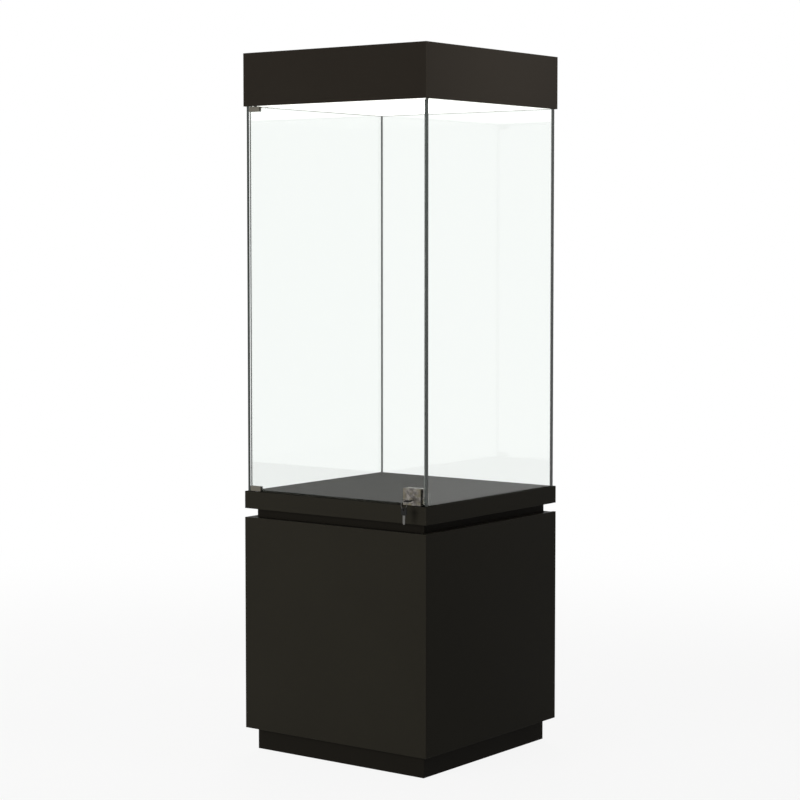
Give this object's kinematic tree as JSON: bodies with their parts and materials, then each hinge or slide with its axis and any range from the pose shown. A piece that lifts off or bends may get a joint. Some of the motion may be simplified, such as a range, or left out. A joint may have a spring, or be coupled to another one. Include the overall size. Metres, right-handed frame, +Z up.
{
  "type": "pedestal display case",
  "caption": "Square lit pedestal showcase: a boxed base on a recessed plinth carries a frameless glass chamber with a lockable pivot door under a flat canopy.",
  "frame": {"origin": "centre of the case's footprint on the floor, at the middle of the underside of the plinth's cross rail", "axes": "+Z up, -Y towards the door side (the front), +X to the right of someone who faces the door"},
  "size_m": [0.6, 0.6452, 1.86],
  "materials": {
    "lacquer": "satin dark brown-black lacquer on board",
    "dark_paint": "matt dark paint on board",
    "powder_coat": "satin dark brown-black powder coat on sheet steel",
    "grey_board": "board with a matt dark grey surface",
    "raw_board": "sealed fibreboard",
    "glass": "clear float glass with polished edges",
    "silicone": "dark silicone",
    "nickel": "satin nickel",
    "chrome": "worn satin chrome",
    "steel": "bare steel",
    "aluminium": "mill aluminium",
    "black_plastic": "black moulded plastic",
    "nylon": "natural nylon",
    "opal": "opal acrylic, lit from behind",
    "white_paint": "white reflector paint"
  },
  "bodies": {
    "case": {"plinth_front": "dark_paint", "plinth_rear": "dark_paint", "plinth_left": "dark_paint", "plinth_right": "dark_paint", "plinth_cross_rail": "dark_paint", "base_front_panel": "lacquer", "base_left_panel": "lacquer", "base_right_panel": "lacquer", "base_floor_panel": "raw_board", "base_top_panel": "dark_paint", "service_panel": "lacquer", "mains_inlet": "black_plastic", "mains_lead": "black_plastic", "led_driver": "aluminium", "low_voltage_lead": "black_plastic", "reveal_front": "dark_paint", "reveal_rear": "dark_paint", "reveal_left": "dark_paint", "reveal_right": "dark_paint", "deck_front_rail": "lacquer", "deck_rear_rail": "lacquer", "deck_left_rail": "lacquer", "deck_right_rail": "lacquer", "display_board": "grey_board", "strike_plate": "nickel", "bottom_pivot_bush": "nylon", "left_pane": "glass", "right_pane": "glass", "rear_pane": "glass", "silicone_joint_left": "silicone", "silicone_joint_right": "silicone", "door_stop_seal": "silicone", "canopy_shell": "powder_coat", "head_rail": "aluminium", "glass_rail_rear": "aluminium", "glass_rail_left": "aluminium", "glass_rail_right": "aluminium", "top_pivot_bush": "nylon", "diffuser": "opal", "led_tray": "white_paint", "led_board": "white_paint"},
    "door": {"door_pane": "glass", "bottom_clamp": "nickel", "bottom_pivot_pin": "steel", "top_clamp": "nickel", "top_pivot_pin": "steel", "lock_body": "chrome", "lock_rear_cover": "chrome"},
    "plug": {"lock_plug": "chrome"},
    "bolt": {"lock_bolt": "steel"},
    "key": {"key_blade": "steel", "key_bow": "black_plastic"},
    "ring": {"key_ring": "steel"},
    "spare_key": {"spare_key_blade": "steel", "spare_key_bow": "black_plastic"},
    "foot_1": {"levelling_foot_1": "steel"},
    "foot_2": {"levelling_foot_2": "steel"},
    "foot_3": {"levelling_foot_3": "steel"},
    "foot_4": {"levelling_foot_4": "steel"}
  },
  "joints": [
    {"name": "door_hinge", "type": "hinge", "parent": "case", "child": "door", "pos_m": [-0.266, -0.29, 0.698], "axis": [0, 0, -1], "range_deg": [0, 110]},
    {"name": "lock_turn", "type": "hinge", "parent": "door", "child": "plug", "pos_m": [0.2555, -0.29, 0.7122], "axis": [0, 1, 0], "range_deg": [0, 90]},
    {"name": "bolt_throw", "type": "slide", "parent": "door", "child": "bolt", "axis": [0, 0, -1], "range_m": [0, 0.008]},
    {"name": "key_draw", "type": "slide", "parent": "plug", "child": "key", "axis": [0, -1, 0], "range_m": [0, 0.02]},
    {"name": "ring_swing", "type": "hinge", "parent": "key", "child": "ring", "pos_m": [0.2555, -0.322, 0.7122], "axis": [-1, 0, 0], "range_deg": [0, 60]},
    {"name": "spare_key_swing", "type": "hinge", "parent": "ring", "child": "spare_key", "pos_m": [0.2555, -0.33223, 0.69336], "axis": [0, 1, 0], "range_deg": [-50, 50]},
    {"name": "foot_1_height", "type": "slide", "parent": "case", "child": "foot_1", "axis": [0, 0, -1], "range_m": [0, 0.012]},
    {"name": "foot_2_height", "type": "slide", "parent": "case", "child": "foot_2", "axis": [0, 0, -1], "range_m": [0, 0.012]},
    {"name": "foot_3_height", "type": "slide", "parent": "case", "child": "foot_3", "axis": [0, 0, -1], "range_m": [0, 0.012]},
    {"name": "foot_4_height", "type": "slide", "parent": "case", "child": "foot_4", "axis": [0, 0, -1], "range_m": [0, 0.012]}
  ],
  "couplings": [
    {"joint": "bolt_throw", "follows": "lock_turn", "m_per_rad": 0.0050929}
  ]
}
